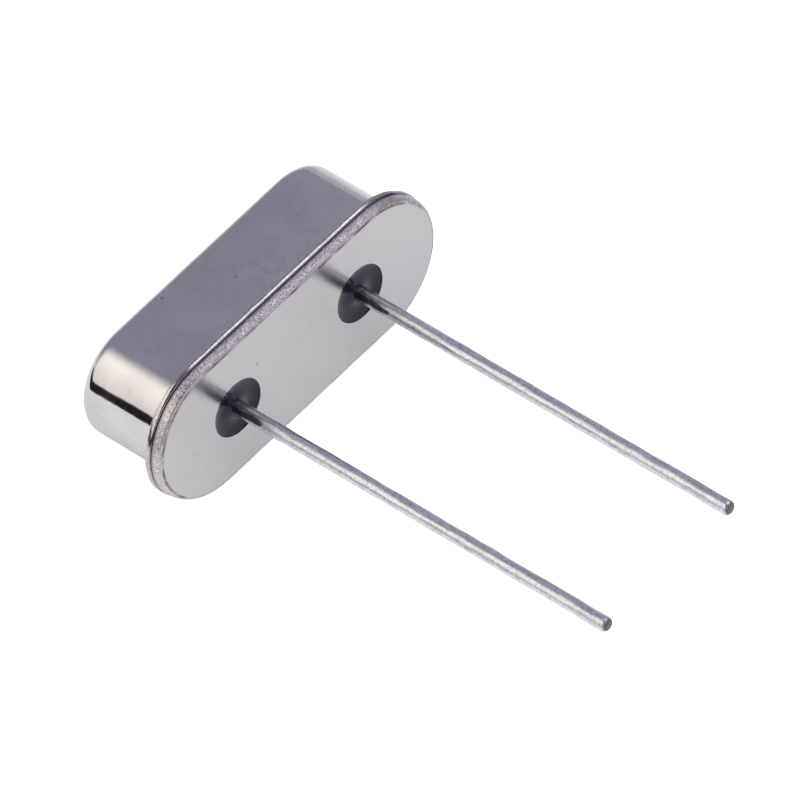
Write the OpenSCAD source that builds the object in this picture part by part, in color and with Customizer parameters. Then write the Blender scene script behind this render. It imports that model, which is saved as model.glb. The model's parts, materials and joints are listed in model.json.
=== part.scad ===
// Two-lead quartz crystal in a low can, lying on its side as it comes to rest.
// A drawn can is resistance-welded over a stamped base. Two glass seals carry the leads
// through the base, a folded spring on each lead's head holds one end of the quartz strip,
// and silver-loaded adhesive joins each spring to its end of the strip.
// Every piece is made upright, with the seating plane at z = 0, the can above it and the
// leads below it, and lay_down() then turns the whole part onto its side.

/* [Can] */
// Length of the can's body, outside, without its flange
can_length = 9.95; // [8.2:0.05:12]
// Width of the can's body, outside, without its flange
can_width = 3.5; // [2.9:0.05:4.3]
// Height from the seating plane to the can's closed end
body_height = 3.48; // [2.9:0.02:5]
// Thickness of the sheet that the can is drawn from
can_sheet = 0.2; // [0.15:0.01:0.25]
// Outside radius of the edge round the closed end
can_edge_radius = 0.4; // [0.3:0.05:0.6]
// Outside radius of the fold where the wall turns into the flange
flange_fold_radius = 0.1; // [0.05:0.01:0.15]
// How far the flange stands out from the wall, all round
flange_overhang = 0.52; // [0.4:0.02:0.62]
// Radius on both edges of the flange's rim
flange_rim_radius = 0.08; // [0.03:0.01:0.09]

/* [Base] */
// Thickness of the base's flange, from the seating plane to the weld seam
base_thickness = 0.33; // [0.2:0.01:0.4]
// How much smaller the base's outline is than the can's flange, all round
base_inset = 0.03; // [0:0.01:0.08]
// Radius of the base's edge at the seating plane
base_edge_radius = 0.21; // [0.05:0.01:0.22]
// Radius of the base's edge at the weld seam
seam_edge_radius = 0.04; // [0.02:0.01:0.05]
// Height of the raised platform inside the can, above the weld seam
platform_height = 0.6; // [0.4:0.05:0.75]
// Clearance between the platform and the can's inner wall
platform_clearance = 0.12; // [0.05:0.01:0.2]
// Radius of the platform's top edge
platform_edge_radius = 0.1; // [0.05:0.01:0.15]

/* [Glass seals] */
// Diameter of each glass seal, and of its hole in the base
seal_diameter = 1.76; // [1.4:0.04:2.1]
// How far the glass's edges lie below each face of the base
seal_recess = 0.03; // [0.01:0.01:0.06]
// How deep the glass dips between the lead and the rim
seal_dip = 0.07; // [0.03:0.01:0.1]

/* [Leads] */
// Distance between the two leads' axes
lead_pitch = 4.88; // [4.1:0.02:5.6]
// Diameter of each lead over its coat of tin
lead_diameter = 0.43; // [0.36:0.01:0.52]
// Thickness of the coat of tin, which stops at the glass
tin_coat = 0.005; // [0.002:0.001:0.01]
// Length of each lead below the seating plane
lead_length = 13.25; // [3:0.25:20]
// Radius round each lead's cut tip
lead_tip_radius = 0.06; // [0.02:0.01:0.1]
// Diameter of the nail head inside the can
head_diameter = 0.8; // [0.6:0.05:1]
// Thickness of the nail head
head_thickness = 0.12; // [0.08:0.01:0.16]
// Gap between the platform's top and the underside of the head
head_gap = 0.05; // [0.02:0.01:0.1]

/* [Springs] */
// Width of each folded spring
spring_width = 1; // [0.8:0.05:1.2]
// Thickness of the spring's strip
spring_sheet = 0.1; // [0.06:0.01:0.12]
// Inside radius of the spring's folds
spring_fold_radius = 0.08; // [0.04:0.01:0.1]
// Reach of the spring's foot behind the lead's axis
spring_heel = 0.4; // [0.3:0.05:0.5]
// Length of the quartz strip that lies on each spring's shelf
shelf_overlap = 0.5; // [0.35:0.05:0.6]
// Length of the shelf beyond the end of the quartz strip
shelf_lip = 0.35; // [0.32:0.01:0.45]

/* [Quartz] */
// Thickness of the quartz strip, which sets its frequency
blank_thickness = 0.15; // [0.08:0.01:0.3]
// Clearance between each end of the strip and the can's inner wall
blank_end_clearance = 0.75; // [0.65:0.05:1]
// Clearance between each side of the strip and the can's inner wall
blank_side_clearance = 0.58; // [0.35:0.01:0.7]
// Length of the electrode film in the middle of the strip
electrode_length = 3.6; // [2.5:0.1:4.5]
// Width of the electrode film
electrode_width = 1.3; // [1:0.05:1.35]
// Radius of the electrode film's corners
electrode_corner_radius = 0.2; // [0.1:0.05:0.4]
// Thickness of the electrode film
film_thickness = 0.02; // [0.01:0.005:0.03]
// Width of the film's track out to one end of the strip
track_width = 0.5; // [0.3:0.05:0.6]
// Diameter of each dot of adhesive
adhesive_diameter = 0.64; // [0.55:0.01:0.64]
// Height of the adhesive above the quartz strip
adhesive_crown = 0.12; // [0.08:0.01:0.16]

/* [Hidden] */
$fn = 64;

// Everything drawn as a long round-ended outline shares this straight length.
straight = can_length - can_width;

// The least flat height that is left on a rim between the rounds of its two edges.
rim_flat = 0.01;
rim_round = min(flange_rim_radius, (can_sheet - rim_flat) / 2);
base_round = min(base_edge_radius, base_thickness - seam_edge_radius - rim_flat);

can_half = can_width / 2;
cavity_half = can_half - can_sheet;
flange_half = can_half + flange_overhang;
base_half = flange_half - base_inset;
platform_half = cavity_half - platform_clearance;

seam_z = base_thickness;
flange_top_z = seam_z + can_sheet;
platform_z = seam_z + platform_height;
ceiling_z = body_height - can_sheet;

lead_x = lead_pitch / 2;
lead_radius = lead_diameter / 2;
wire_radius = lead_radius - tin_coat;
seal_radius = seal_diameter / 2;
head_z = platform_z + head_gap;
foot_z = head_z + head_thickness;

// The spring's shelf is half way up the space above the platform.
shelf_z = (platform_z + ceiling_z) / 2;
blank_z = shelf_z + film_thickness;
blank_top_z = blank_z + blank_thickness;
blank_length = can_length - 2 * (can_sheet + blank_end_clearance);
blank_width = can_width - 2 * (can_sheet + blank_side_clearance);
blank_end = blank_length / 2;

// At rest the part touches the surface along two edges: the round of the flange's rim and the
// round of the can's closed end. The tilt is that of the line touching both rounds.
rim_y = flange_half - rim_round;
rim_z = flange_top_z - rim_round;
edge_y = can_half - can_edge_radius;
edge_z = body_height - can_edge_radius;
edge_distance = norm([rim_y - edge_y, edge_z - rim_z]);
rest_tilt = atan2(rim_y - edge_y, edge_z - rim_z)
    - asin((can_edge_radius - rim_round) / edge_distance);
rest_lift = rim_y * cos(rest_tilt) + rim_z * sin(rest_tilt) + rim_round;

// The part's two ends once laid down, so that the origin can be under their middle.
can_reach = edge_y * sin(rest_tilt) + edge_z * cos(rest_tilt) + can_edge_radius;
lead_reach = (lead_length - lead_tip_radius) * cos(rest_tilt)
    + (lead_radius - lead_tip_radius) * sin(rest_tilt) + lead_tip_radius;

// Turns an upright piece onto its side: the leads point to -Y and the can to +Y.
module lay_down() {
    translate([0, (lead_reach - can_reach) / 2, rest_lift])
        rotate([-90 - rest_tilt, 0, 0])
            children();
}

// Carries a half section, drawn as (distance from the middle, height), round a long outline
// with round ends: half a turn at each end and a straight run between them.
module sweep_outline() {
    for (side = [-1, 1])
        translate([side * straight / 2, 0, 0])
            rotate([0, 0, -90 * side])
                rotate_extrude(angle = 180)
                    children();
    rotate([90, 0, 90])
        linear_extrude(straight, center = true) {
            children();
            mirror([1, 0]) children();
        }
}

// A quarter of a ring of sheet metal about a fold's centre, in the quadrant given by two signs.
module fold(centre, inside_radius, sheet, quadrant) {
    outside_radius = inside_radius + sheet;
    translate(centre)
        intersection() {
            difference() {
                circle(outside_radius);
                circle(inside_radius);
            }
            translate([min(quadrant.x, 0), min(quadrant.y, 0)] * outside_radius)
                square(outside_radius);
        }
}

// What is cut from a square corner to leave it round: quadrant gives the two signs in which
// the corner points outwards from its material.
module corner_cut(corner, radius, quadrant) {
    margin = 2 * radius;
    translate(corner - radius * quadrant)
        difference() {
            translate([min(quadrant.x, 0), min(quadrant.y, 0)] * margin) square(margin);
            circle(radius);
        }
}

// A plain bar in a half section, from one x to another and from bottom to top.
module bar(from, to, bottom, top) {
    translate([from, bottom]) square([to - from, top - bottom]);
}

// Half section of the can: flange, fold, wall, edge and closed end, all of one sheet.
module can_section() {
    fold_z = flange_top_z + flange_fold_radius;
    fold_x = can_half + flange_fold_radius;
    difference() {
        bar(fold_x, flange_half, seam_z, flange_top_z);
        corner_cut([flange_half, seam_z], rim_round, [1, -1]);
        corner_cut([flange_half, flange_top_z], rim_round, [1, 1]);
    }
    fold([fold_x, fold_z], flange_fold_radius, can_sheet, [-1, -1]);
    bar(cavity_half, can_half, fold_z, edge_z);
    fold([edge_y, edge_z], can_edge_radius - can_sheet, can_sheet, [1, 1]);
    bar(0, edge_y, ceiling_z, body_height);
}

// Half section of the base: the flange plate and the platform raised inside the can.
module base_section() {
    difference() {
        bar(0, base_half, 0, seam_z);
        corner_cut([base_half, 0], base_round, [1, -1]);
        corner_cut([base_half, seam_z], seam_edge_radius, [1, 1]);
    }
    difference() {
        bar(0, platform_half, seam_z, platform_z);
        corner_cut([platform_half, platform_z], platform_edge_radius, [1, 1]);
    }
}

// Half section of a glass seal: a sleeve round the lead, dished at both faces.
module seal_section() {
    chord = seal_radius - wire_radius;
    dish_radius = chord * chord / (8 * seal_dip) + seal_dip / 2;
    dish_x = (seal_radius + wire_radius) / 2;
    low = seal_recess;
    high = platform_z - seal_recess;
    difference() {
        bar(wire_radius, seal_radius, low, high);
        translate([dish_x, low + seal_dip - dish_radius]) circle(dish_radius);
        translate([dish_x, high - seal_dip + dish_radius]) circle(dish_radius);
    }
}

// Half section of a lead: a round-tipped wire with a nail head at its upper end, tinned
// below the glass.
module lead_section() {
    head_radius = head_diameter / 2;
    head_round = head_thickness / 3;
    difference() {
        bar(0, lead_radius, -lead_length, seal_recess);
        corner_cut([lead_radius, -lead_length], lead_tip_radius, [1, -1]);
    }
    bar(0, wire_radius, seal_recess, head_z);
    difference() {
        bar(0, head_radius, head_z, foot_z);
        corner_cut([head_radius, head_z], head_round, [1, -1]);
        corner_cut([head_radius, foot_z], head_round, [1, 1]);
    }
}

// Side view of a folded spring: foot on the head, riser, and shelf under the strip's end.
module spring_profile() {
    riser_x = blank_end - shelf_overlap - spring_fold_radius - spring_sheet;
    foot_fold_x = riser_x - spring_fold_radius;
    foot_fold_z = foot_z + spring_sheet + spring_fold_radius;
    shelf_fold_x = riser_x + spring_sheet + spring_fold_radius;
    shelf_fold_z = shelf_z - spring_sheet - spring_fold_radius;
    heel_x = lead_x - spring_heel;
    bar(heel_x, foot_fold_x, foot_z, foot_z + spring_sheet);
    fold([foot_fold_x, foot_fold_z], spring_fold_radius, spring_sheet, [1, -1]);
    bar(riser_x, riser_x + spring_sheet, foot_fold_z, shelf_fold_z);
    fold([shelf_fold_x, shelf_fold_z], spring_fold_radius, spring_sheet, [-1, 1]);
    bar(shelf_fold_x, blank_end + shelf_lip, shelf_z - spring_sheet, shelf_z);
}

// Outline of an electrode film: a round-cornered pad and a track to the strip's +X end.
module electrode_outline() {
    inner = [electrode_length, electrode_width] - 2 * electrode_corner_radius * [1, 1];
    square([electrode_length, inner.y], center = true);
    square([inner.x, electrode_width], center = true);
    for (x = [-1, 1], y = [-1, 1])
        translate([x * inner.x, y * inner.y] / 2) circle(electrode_corner_radius);
    translate([0, -track_width / 2]) square([blank_end, track_width]);
}

module blank_body() {
    translate([-blank_length / 2, -blank_width / 2, blank_z])
        cube([blank_length, blank_width, blank_thickness]);
}

// An electrode film with its underside at the given height and its track towards side.
module electrode_body(bottom, side) {
    translate([0, 0, bottom])
        rotate([0, 0, side > 0 ? 0 : 180])
            linear_extrude(film_thickness)
                electrode_outline();
}

module top_film() {
    electrode_body(blank_top_z, 1);
}

module bottom_film() {
    electrode_body(shelf_z, -1);
}

module can() {
    color("silver") lay_down() sweep_outline() can_section();
}

module base() {
    color("gainsboro")
        lay_down()
            difference() {
                sweep_outline() base_section();
                for (side = [-1, 1])
                    translate([side * lead_x, 0, -base_thickness])
                        cylinder(h = platform_z + 2 * base_thickness, r = seal_radius);
            }
}

module glass_seal(side) {
    color("darkslategray")
        lay_down()
            translate([side * lead_x, 0, 0])
                rotate_extrude()
                    seal_section();
}

module lead(side) {
    color("lightgray")
        lay_down()
            translate([side * lead_x, 0, 0])
                rotate_extrude()
                    lead_section();
}

module spring(side) {
    color("darkgray")
        lay_down()
            rotate([0, 0, side > 0 ? 0 : 180])
                rotate([90, 0, 0])
                    linear_extrude(spring_width, center = true)
                        spring_profile();
}

module quartz_blank() {
    color("lightcyan") lay_down() blank_body();
}

module electrode_top() {
    color("whitesmoke") lay_down() top_film();
}

module electrode_bottom() {
    color("whitesmoke") lay_down() bottom_film();
}

// A round dot of adhesive on the shelf, round the strip's end and over it.
module adhesive(side) {
    dot_radius = adhesive_diameter / 2;
    dot_top = blank_top_z + adhesive_crown;
    color("dimgray")
        lay_down()
            difference() {
                translate([side * blank_end, 0, 0])
                    rotate_extrude()
                        difference() {
                            bar(0, dot_radius, shelf_z, dot_top);
                            corner_cut([dot_radius, dot_top], adhesive_crown, [1, 1]);
                        }
                blank_body();
                top_film();
                bottom_film();
            }
}

can();
base();
glass_seal(-1);  // glass_seal_left
glass_seal(1);  // glass_seal_right
lead(-1);  // lead_left
lead(1);  // lead_right
spring(-1);  // spring_left
spring(1);  // spring_right
quartz_blank();
electrode_top();
electrode_bottom();
adhesive(-1);  // adhesive_left
adhesive(1);  // adhesive_right
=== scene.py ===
"""Looks of a low two-lead quartz crystal that lies on its side.

Set out as an add-on and run as a script. The pieces are worked out upright, in metres: X runs
along the long outline, Y across it and Z from the seating plane to the closed end. to_rest() then
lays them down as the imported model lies.
"""

import json
import math

import bmesh
import bpy
import numpy as np
from bpy.props import FloatProperty, FloatVectorProperty, PointerProperty
from mathutils import Matrix, Vector


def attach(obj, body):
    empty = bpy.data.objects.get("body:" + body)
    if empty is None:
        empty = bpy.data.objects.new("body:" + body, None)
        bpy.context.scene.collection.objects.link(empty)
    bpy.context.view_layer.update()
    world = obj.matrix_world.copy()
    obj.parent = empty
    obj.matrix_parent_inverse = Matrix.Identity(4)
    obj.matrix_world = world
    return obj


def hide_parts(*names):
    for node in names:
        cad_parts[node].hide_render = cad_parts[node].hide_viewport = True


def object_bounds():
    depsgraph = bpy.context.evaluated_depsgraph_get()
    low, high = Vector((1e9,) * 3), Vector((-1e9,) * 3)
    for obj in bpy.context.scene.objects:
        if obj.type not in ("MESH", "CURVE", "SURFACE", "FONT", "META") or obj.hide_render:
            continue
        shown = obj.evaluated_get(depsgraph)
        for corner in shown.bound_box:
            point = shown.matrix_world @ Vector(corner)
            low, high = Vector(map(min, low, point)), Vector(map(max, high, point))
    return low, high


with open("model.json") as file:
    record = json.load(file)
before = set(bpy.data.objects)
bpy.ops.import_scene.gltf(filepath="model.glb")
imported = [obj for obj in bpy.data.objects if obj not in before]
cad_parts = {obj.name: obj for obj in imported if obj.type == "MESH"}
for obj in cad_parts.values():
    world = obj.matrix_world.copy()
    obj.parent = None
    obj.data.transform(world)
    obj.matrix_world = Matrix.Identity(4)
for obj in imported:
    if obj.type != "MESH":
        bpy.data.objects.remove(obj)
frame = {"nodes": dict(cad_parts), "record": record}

bl_info = {
    "name": "Quartz crystal in a low can",
    "version": (1, 0, 0),
    "blender": (4, 5, 0),
    "location": "3D View > Sidebar > Crystal",
    "description": "Builds a crystal's can, base, seals and leads, its finishes and its stage",
    "category": "Object",
}

CAD_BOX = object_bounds()
MM = 1e-3

# ---- the upright frame

MOUNTS = {mount["name"]: mount for mount in frame["record"]["mounts"]}
SEAT = np.array(MOUNTS["seating_plane"]["pos_m"])
UP = -np.array(MOUNTS["seating_plane"]["axis"])
UP = UP / np.linalg.norm(UP)
ALONG = np.array([1.0, 0.0, 0.0])
AXES = np.stack([ALONG, np.cross(UP, ALONG), UP])


def to_rest(points):
    """A point is the seat plus x, y and z times the upright frame's three axes."""
    return SEAT + points @ AXES


def to_upright(points):
    """A point's distances from the seat along the upright frame's three axes."""
    return (points - SEAT) @ AXES.T


def upright_box(name):
    """Lowest and highest corner of a CAD node once it stands upright."""
    mesh = frame["nodes"][name].data
    flat = np.empty(len(mesh.vertices) * 3, np.float32)
    mesh.vertices.foreach_get("co", flat)
    points = to_upright(flat.reshape(-1, 3).astype(float))
    return points.min(axis=0), points.max(axis=0)


CAN_LOW, CAN_HIGH = upright_box("can")
BASE_HIGH = upright_box("base")[1]
SEAL_LOW, SEAL_HIGH = upright_box("glass_seal_right")
LEAD_LOW, LEAD_HIGH = upright_box("lead_right")

FLANGE_HALF = CAN_HIGH[1]
HALF_STRAIGHT = CAN_HIGH[0] - FLANGE_HALF
CLOSED_END = CAN_HIGH[2]
SEAM = CAN_LOW[2]
BASE_HALF = BASE_HIGH[1]
PLATFORM_TOP = BASE_HIGH[2]
SEAL_RADIUS = (SEAL_HIGH[0] - SEAL_LOW[0]) / 2
SEAL_BOTTOM = SEAL_LOW[2]
SEAL_TOP = SEAL_HIGH[2]
LEAD_AXIS = (LEAD_HIGH[0] + LEAD_LOW[0]) / 2
HEAD_RADIUS = (LEAD_HIGH[0] - LEAD_LOW[0]) / 2
LEAD_TIP = LEAD_LOW[2]
HEAD_TOP = LEAD_HIGH[2]
LEAD_RADIUS = MOUNTS["lead_pair"]["dims"]["stud_r_mm"] * MM
NECK = PLATFORM_TOP + 0.05 * MM

# Points round each outline and each turned piece, and nicks on each lead
CAN_STEPS, BASE_STEPS, SEAL_SIDES, LEAD_SIDES, NICKS = 760, 1000, 120, 64, 16

# The swell at one corner: where it starts before the bend and how long it grows, where it ends
# and how long it dies away, in degrees, and how much of the straight it takes
SWELL_LEAD, SWELL_RISE, SWELL_END, SWELL_FALL, SWELL_RUN = 12, 55, 120, 30, 0.5 * MM

# The dark oxide under each lead: its middle and its half width, in degrees from -Y towards -X
OXIDE_FACING, OXIDE_SPREAD = 52, 32


# ---- sizes and colours


def length(name, description, default):
    return FloatProperty(
        name=name, description=description, default=default, min=0.0, unit="LENGTH", precision=6
    )


def colour(name, description, default):
    return FloatVectorProperty(
        name=name, description=description, default=default, min=0.0, max=4.0, subtype="COLOR"
    )


def angle(name, description, default):
    return FloatProperty(
        name=name, description=description, default=math.radians(default), unit="ROTATION"
    )


class CrystalCanSizes(bpy.types.PropertyGroup):
    body_half: length("Body half width", "Half the width of the can's body", 1.75e-3)
    sheet: length("Sheet", "Thickness of the drawn sheet", 0.2e-3)
    edge_radius: length("Edge radius", "Outside radius round the closed end", 0.4e-3)
    fold_radius: length("Fold radius", "Outside radius where wall meets flange", 0.1e-3)
    rim_top: length("Rim top radius", "Radius on the flange's rim, can side", 0.06e-3)
    rim_bottom: length("Rim bottom radius", "Radius on the flange's rim, base side", 0.105e-3)
    wall_wave: length("Wall wave", "Depth of the drawn wall's slow waves", 0.0012e-3)
    rim_wave: length("Rim wave", "Depth of the welded rim's waves", 0.005e-3)
    corner: length("Corner swell", "How far the welded rim stands out at one corner", 0.03e-3)


class CrystalBaseSizes(bpy.types.PropertyGroup):
    edge_radius: length("Edge radius", "Tight radius between the rim and the flat face", 0.14e-3)
    side_start: angle("Side's start", "How far the rim leans in just under the seam", 2.0)
    side_end: angle("Side's end", "How far the rim leans in where the tight radius starts", 19.0)
    seam_radius: length("Seam radius", "Radius at the weld seam", 0.04e-3)
    platform_half: length("Platform half width", "Half the width of the inner platform", 1.43e-3)
    platform_radius: length("Platform radius", "Radius of the platform's edge", 0.1e-3)
    grain: length("Grain depth", "Depth of the grain on the rolled edge", 0.0035e-3)
    face_wave: length("Face wave", "Depth of the stamped face's slow waves", 0.0012e-3)


class CrystalSealSizes(bpy.types.PropertyGroup):
    dip: length("Dip", "How deep the glass dips between lead and rim", 0.07e-3)
    collar: length("Collar", "How far the glass creeps along the lead", 0.02e-3)


class CrystalLeadSizes(bpy.types.PropertyGroup):
    coat: length("Coat", "Thickness of the tin", 0.005e-3)
    tip_radius: length("Tip radius", "Radius round the cut tip", 0.13e-3)
    wave: length("Wave", "Depth of the tin's unevenness", 0.003e-3)
    dent: length("Dent", "Depth of the nicks left by handling", 0.007e-3)


class CrystalColours(bpy.types.PropertyGroup):
    can_plate: colour("Can plate", "Colour of the can's plating", (0.575, 0.576, 0.580))
    base_plate: colour("Base plate", "Colour of the base's plating", (0.528, 0.535, 0.539))
    edge_plate: colour("Rolled edge", "Colour of the base's rolled edge", (0.60, 0.575, 0.588))
    heat: colour("Heat tint", "Colour that the weld leaves", (0.20, 0.15, 0.24))
    glass: colour("Seal glass", "Colour of the glass", (0.0085, 0.0072, 0.0165))
    tin: colour("Tin", "Colour of the leads' coat", (0.715, 0.745, 0.79))
    spring: colour("Spring strip", "Colour of the springs", (0.62, 0.61, 0.58))
    silver: colour("Silver", "Colour of the electrode films", (0.87, 0.86, 0.84))
    adhesive: colour("Adhesive", "Colour of the silver-loaded adhesive", (0.42, 0.41, 0.39))


class CrystalStage(bpy.types.PropertyGroup):
    azimuth: angle("Azimuth", "Camera's direction round the part", -48.5777)
    elevation: angle("Elevation", "Camera's height above the horizon", 55.9615)
    roll: angle("Roll", "Camera's turn about its own axis", 0.0121)
    distance: length("Distance", "Camera's distance from the point it looks at", 0.528674)
    aim_left: length("Aim left", "How far the view's middle is left of the part's", 0.8321e-3)
    aim_up: length("Aim up", "How far the view's middle is above the part's", 1.1304e-3)
    lens: FloatProperty(name="Lens", description="Focal length", default=900.0, unit="CAMERA")
    floor: colour("Floor", "Colour of the floor", (0.90, 0.90, 0.90))
    slate: colour("Room", "Dim light from the room", (0.360, 0.354, 0.446))
    wall: colour("Wall light", "Soft light behind and to the left", (1.49, 1.39, 1.29))
    front: colour("Front light", "Soft light in front, at mid height", (0.95, 0.88, 0.92))
    high: colour("High light", "Soft light high up on the right", (1.85, 1.79, 1.92))
    dim: colour("Dim sky", "What is overhead and in front, above the light", (0.20, 0.19, 0.23))


# ---- shapes by formula


def line(start, end, steps):
    """Straight run: start plus an even share of the way to the end."""
    share_done = np.linspace(0.0, 1.0, steps + 1)[:, None]
    return np.array(start) + share_done * (np.array(end) - np.array(start))


def arc(centre, radius, start, end, steps):
    """Round run: centre plus radius times (cos a, sin a), with a from start to end in degrees."""
    turn = np.radians(np.linspace(start, end, steps + 1))
    return np.array(centre) + radius * np.stack([np.cos(turn), np.sin(turn)], axis=1)


def join_runs(*runs):
    """Runs end to end, with each shared point kept once."""
    whole = np.concatenate(runs)
    step = np.linalg.norm(np.diff(whole, axis=0), axis=1)
    return whole[np.concatenate([[True], step > 1e-9])]


def ease(share):
    """A share from 0 to 1, eased at both ends: s * s * (3 - 2 * s)."""
    return share * share * (3 - 2 * share)


def grow(values, start, run):
    """Share of the way past a start, over a run: 0 before it and 1 beyond."""
    return np.clip((values - start) / run, 0, 1)


def corner_swell(points):
    """How far the welded rim stands out round one corner, as a share of the whole swell.

    The corner is the -X, -Y one. The angle is counted round the end's centre from -Y towards -X,
    and the share is ease(rise) * ease(fall).
    """
    past = np.maximum(-HALF_STRAIGHT - points[:, 0], 0.0)
    facing = np.degrees(np.arctan2(past, -points[:, 1]))
    rise = np.where(past > 0, grow(facing, -SWELL_LEAD, SWELL_RISE), 0.0)
    lead_in = grow(-points[:, 0], HALF_STRAIGHT - SWELL_RUN, SWELL_RUN) * (points[:, 1] < 0)
    rise = np.maximum(rise, lead_in * SWELL_LEAD / SWELL_RISE)
    return ease(rise) * ease(grow(-facing, -SWELL_END, SWELL_FALL))


def ripple(points, size, seed, count=40):
    """Sum of plane sine waves of about one length in random directions, scaled to a spread of 1."""
    draw = np.random.default_rng(seed)
    ways = draw.normal(size=(count, 3))
    ways /= np.linalg.norm(ways, axis=1)[:, None]
    waves = 2 * np.pi / (size * draw.uniform(0.7, 1.5, count))
    starts = draw.uniform(0, 2 * np.pi, count)
    total = np.zeros(len(points))
    for way, wave, start in zip(ways, waves, starts):
        total += np.sin(points @ way * wave + start)
    return total * math.sqrt(2 / count)


def outline(reach, steps):
    """Points of the middle line and outward directions, evenly spaced round a long outline.

    The outline is two straights joined by two half circles of the given reach. It starts at the
    middle of the -Y straight and turns through +X.
    """
    bend = math.pi * reach
    breaks = np.cumsum([0.0, HALF_STRAIGHT, bend, 2 * HALF_STRAIGHT, bend, HALF_STRAIGHT])
    travel = np.linspace(0.0, breaks[-1], steps, endpoint=False)
    middle = np.interp(travel, breaks, np.array([0, 1, 1, -1, -1, 0]) * HALF_STRAIGHT)
    facing = np.interp(travel, breaks, np.array([-1, -1, 1, 1, 3, 3]) * math.pi / 2)
    centres = np.stack([middle, np.zeros(steps)], axis=1)
    return centres, np.stack([np.cos(facing), np.sin(facing)], axis=1)


def carry(section, centres, outward):
    """Grid of a half section carried round an outline: centre + distance * outward."""
    flat = centres[:, None, :] + section[None, :, :1] * outward[:, None, :]
    heights = np.broadcast_to(section[None, :, 1:], (len(centres), len(section), 1))
    return np.concatenate([flat, heights], axis=2)


def turn_round(section, centre_x, steps):
    """Grid of a half section turned a whole turn about an upright axis at (centre_x, 0)."""
    facing = np.linspace(0.0, 2 * np.pi, steps, endpoint=False)
    outward = np.stack([np.cos(facing), np.sin(facing)], axis=1)
    return carry(section, np.tile([centre_x, 0.0], (steps, 1)), outward)


def quads(rows, columns, first, wrap_rows=False, wrap_columns=False):
    """Corner numbers of the faces of a grid of points, row by row."""
    numbers = first + np.arange(rows * columns).reshape(rows, columns)
    if wrap_rows:
        numbers = np.concatenate([numbers, numbers[:1]])
    if wrap_columns:
        numbers = np.concatenate([numbers, numbers[:, :1]], axis=1)
    corners = [numbers[:-1, :-1], numbers[1:, :-1], numbers[1:, 1:], numbers[:-1, 1:]]
    return np.stack(corners, axis=-1).reshape(-1, 4)


def add_piece(name, grids, masks=None, sharp=40):
    """One closed mesh from grids of upright points; points that fall together become one.

    grids holds (points, wrap_rows, wrap_columns). A face whose corners fall together loses
    them, and is left out below three. masks holds one value for each point, by name.
    """
    points, faces, first = [], [], 0
    for grid, wrap_rows, wrap_columns in grids:
        rows, columns = grid.shape[:2]
        faces.append(quads(rows, columns, first, wrap_rows, wrap_columns))
        points.append(grid.reshape(-1, 3))
        first += rows * columns
    points, faces = np.concatenate(points), np.concatenate(faces)
    _, keep, place = np.unique(
        np.round(points * 1e8).astype(np.int64), axis=0, return_index=True, return_inverse=True
    )
    faces = place.reshape(-1)[faces]
    real = faces != np.roll(faces, -1, axis=1)
    full = real.sum(axis=1) >= 3
    faces, real = faces[full], real[full]
    counts = real.sum(axis=1)

    mesh = bpy.data.meshes.new(name)
    mesh.vertices.add(len(keep))
    mesh.vertices.foreach_set("co", to_rest(points[keep]).astype(np.float32).ravel())
    mesh.loops.add(int(counts.sum()))
    mesh.loops.foreach_set("vertex_index", faces[real].astype(np.int32))
    mesh.polygons.add(len(counts))
    starts = np.concatenate([[0], np.cumsum(counts)[:-1]])
    mesh.polygons.foreach_set("loop_start", starts.astype(np.int32))
    mesh.update(calc_edges=True)
    mesh.validate()
    for mask, values in (masks or {}).items():
        layer = mesh.attributes.new(mask, "FLOAT", "POINT")
        layer.data.foreach_set("value", values[keep].astype(np.float32))
    shape = bmesh.new()
    shape.from_mesh(mesh)
    bmesh.ops.recalc_face_normals(shape, faces=shape.faces)
    if shape.calc_volume(signed=True) < 0:
        bmesh.ops.reverse_faces(shape, faces=shape.faces)
    open_edges = sum(not edge.is_manifold for edge in shape.edges)
    shape.to_mesh(mesh)
    shape.free()
    if open_edges:
        raise RuntimeError(f"{name} has {open_edges} open edges")
    mesh.polygons.foreach_set("use_smooth", np.ones(len(mesh.polygons), bool))
    mesh.set_sharp_from_angle(angle=math.radians(sharp))
    made = bpy.data.objects.new(name, mesh)
    bpy.context.scene.collection.objects.link(made)
    return made


def settle(piece, material, slot, *nodes):
    """Gives a piece its finish, its body and the CAD nodes that it stands for; the slot is not
    used.
    """
    piece.data.materials.append(material)
    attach(piece, "root")
    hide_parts(*nodes)


# ---- the can


def can_section(sizes):
    """Half section of the can: outside from the closed end's middle to the rim, and back inside."""
    body, sheet, edge = sizes.body_half, sizes.sheet, sizes.edge_radius
    fold, high, low = sizes.fold_radius, sizes.rim_top, sizes.rim_bottom
    top, cavity = SEAM + sheet, body - sheet
    fold_x, fold_z = body + fold, top + fold
    edge_x, edge_z = body - edge, CLOSED_END - edge
    return join_runs(
        line((0, CLOSED_END), (edge_x, CLOSED_END), 16),
        arc((edge_x, edge_z), edge, 90, 0, 14),
        line((body, edge_z), (body, fold_z), 26),
        arc((fold_x, fold_z), fold, 180, 270, 8),
        line((fold_x, top), (FLANGE_HALF - high, top), 8),
        arc((FLANGE_HALF - high, top - high), high, 90, 0, 12),
        arc((FLANGE_HALF - low, SEAM + low), low, 0, -90, 8),
        line((FLANGE_HALF - low, SEAM), (fold_x, SEAM), 4),
        arc((fold_x, fold_z), fold + sheet, 270, 180, 6),
        line((cavity, fold_z), (cavity, edge_z), 8),
        arc((edge_x, edge_z), edge - sheet, 0, 90, 5),
        line((edge_x, CLOSED_END - sheet), (0, CLOSED_END - sheet), 5),
    )


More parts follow.
